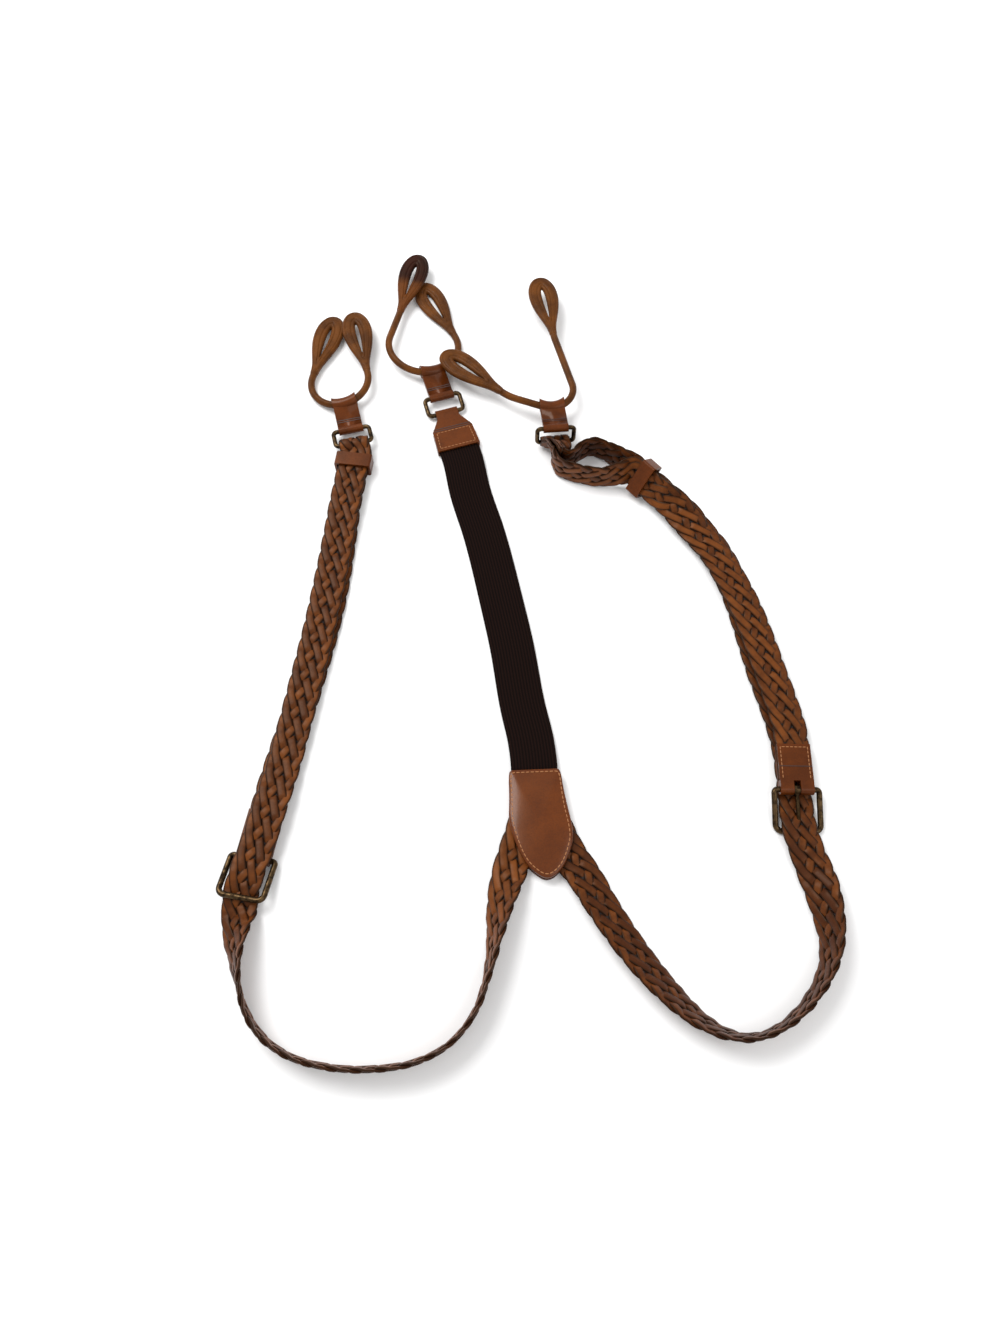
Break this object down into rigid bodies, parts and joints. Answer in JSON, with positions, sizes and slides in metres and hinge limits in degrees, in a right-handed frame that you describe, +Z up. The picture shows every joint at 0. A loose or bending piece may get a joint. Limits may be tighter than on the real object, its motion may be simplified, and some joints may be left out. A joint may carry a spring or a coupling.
{
  "type": "trouser braces",
  "caption": "Y-back button-on trouser braces in braided brown leather, with elastic back strap, leather yoke, brass buckles and six buttonhole tabs.",
  "frame": {"origin": "bottom centre of the laid-out pair's bounding box", "axes": "+Z up from the surface it lies on, +Y towards the buttonhole ends, +X to the right seen from above with the buttonhole ends away"},
  "size_m": [0.3915, 0.6391, 0.0282],
  "materials": {
    "braided_leather": "semi-gloss waxed braid",
    "smooth_leather": "glazed, burnished edges",
    "rolled_leather": "rolled and waxed",
    "dark_red_leather": "dark oxblood glaze",
    "dark_elastic": "ribbed woven elastic",
    "antique_brass": "antique, darkened",
    "linen_thread": "waxed thread",
    "cotton_core": "soft cord, hidden"
  },
  "bodies": {
    "straps": {"left_strap": "braided_leather", "right_strap": "braided_leather", "back_elastic": "dark_elastic", "yoke_back": "smooth_leather", "yoke_filler": "smooth_leather", "yoke_front": "smooth_leather", "yoke_stitching": "linen_thread", "left_chape": "smooth_leather", "left_chape_stitching": "linen_thread", "right_chape": "smooth_leather", "right_chape_stitching": "linen_thread"},
    "back_end": {"back_end_tab": "smooth_leather", "back_end_tab_stitching": "linen_thread"},
    "left_buckle": {"left_buckle_frame": "antique_brass"},
    "left_prong": {"left_buckle_prong": "antique_brass"},
    "left_keeper": {"left_keeper": "smooth_leather"},
    "right_buckle": {"right_buckle_frame": "antique_brass"},
    "right_prong": {"right_buckle_prong": "antique_brass"},
    "right_keeper": {"right_keeper": "smooth_leather"},
    "left_ring": {"left_ring": "antique_brass"},
    "left_runner": {"left_runner": "smooth_leather", "left_runner_stitching": "linen_thread"},
    "left_cord": {"left_cord": "rolled_leather", "left_cord_core": "cotton_core", "left_tab_a": "rolled_leather", "left_tab_b": "rolled_leather"},
    "right_ring": {"right_ring": "antique_brass"},
    "right_runner": {"right_runner": "smooth_leather", "right_runner_stitching": "linen_thread"},
    "right_cord": {"right_cord": "rolled_leather", "right_cord_core": "cotton_core", "right_tab_a": "rolled_leather", "right_tab_b": "rolled_leather"},
    "back_ring": {"back_ring": "antique_brass"},
    "back_runner": {"back_runner": "smooth_leather", "back_runner_stitching": "linen_thread"},
    "back_cord": {"back_cord": "rolled_leather", "back_cord_core": "cotton_core", "back_tab_a": "dark_red_leather", "back_tab_b": "rolled_leather"}
  },
  "joints": [
    {"name": "left_buckle_frame_hinge", "type": "hinge", "parent": "straps", "child": "left_buckle", "pos_m": [-0.1759, -0.1911, 0.0038], "axis": [-0.9833, 0.1822, 0], "range_deg": [0, 8]},
    {"name": "left_prong_hinge", "type": "hinge", "parent": "left_buckle", "child": "left_prong", "pos_m": [-0.1759, -0.1911, 0.0038], "axis": [-0.9833, 0.1822, 0], "range_deg": [-40, 0]},
    {"name": "right_buckle_frame_hinge", "type": "hinge", "parent": "straps", "child": "right_buckle", "pos_m": [0.1766, -0.1466, 0.0075], "axis": [0.9998, -0.0175, 0], "range_deg": [0, 8]},
    {"name": "right_prong_hinge", "type": "hinge", "parent": "right_buckle", "child": "right_prong", "pos_m": [0.1766, -0.1466, 0.0075], "axis": [0.9998, -0.0175, 0], "range_deg": [-40, 0]},
    {"name": "left_keeper_slide", "type": "slide", "parent": "straps", "child": "left_keeper", "axis": [-0.121, -0.9927, 0], "range_m": [0, 0.025]},
    {"name": "right_keeper_slide", "type": "slide", "parent": "straps", "child": "right_keeper", "axis": [0.6639, -0.7478, 0], "range_m": [0, 0.01]},
    {"name": "back_elastic_stretch", "type": "slide", "parent": "straps", "child": "back_end", "axis": [-0.2924, 0.9563, 0], "range_m": [0, 0.06], "deforming": ["back_elastic"]},
    {"name": "left_ring_hinge", "type": "hinge", "parent": "straps", "child": "left_ring", "pos_m": [-0.1299, 0.1289, 0.0074], "axis": [0.9703, 0.2419, 0], "range_deg": [-60, 60]},
    {"name": "left_runner_hinge", "type": "hinge", "parent": "left_ring", "child": "left_runner", "pos_m": [-0.1334, 0.14293, 0.0063], "axis": [0.9703, 0.2419, 0], "range_deg": [-60, 60]},
    {"name": "left_cord_turn", "type": "hinge", "parent": "left_runner", "child": "left_cord", "pos_m": [-0.14513, 0.18999, 0.0063], "axis": [-0.1098, -0.0274, 0.9936], "range_deg": [-15, 15]},
    {"name": "right_ring_hinge", "type": "hinge", "parent": "straps", "child": "right_ring", "pos_m": [0.0246, 0.1324, 0.00533], "axis": [0.9971, 0.0767, 0], "range_deg": [0, 8]},
    {"name": "right_runner_hinge", "type": "hinge", "parent": "right_ring", "child": "right_runner", "pos_m": [0.02448, 0.13391, 0.01975], "axis": [0.9971, 0.0767, 0], "range_deg": [0, 60]},
    {"name": "right_cord_turn", "type": "hinge", "parent": "right_runner", "child": "right_cord", "pos_m": [0.02121, 0.17642, 0.01315], "axis": [0, 0, 1], "range_deg": [-20, 0]},
    {"name": "back_ring_hinge", "type": "hinge", "parent": "back_end", "child": "back_ring", "pos_m": [-0.0598, 0.1611, 0.0033], "axis": [0.9563, 0.2924, 0], "range_deg": [-60, 0]},
    {"name": "back_runner_hinge", "type": "hinge", "parent": "back_ring", "child": "back_runner", "pos_m": [-0.06395, 0.17467, 0.0063], "axis": [0.9563, 0.2924, 0], "range_deg": [-45, 0]},
    {"name": "back_cord_turn", "type": "hinge", "parent": "back_runner", "child": "back_cord", "pos_m": [-0.07959, 0.22583, 0.0063], "axis": [0.1165, 0.0356, 0.9925], "range_deg": [-15, 15]}
  ]
}
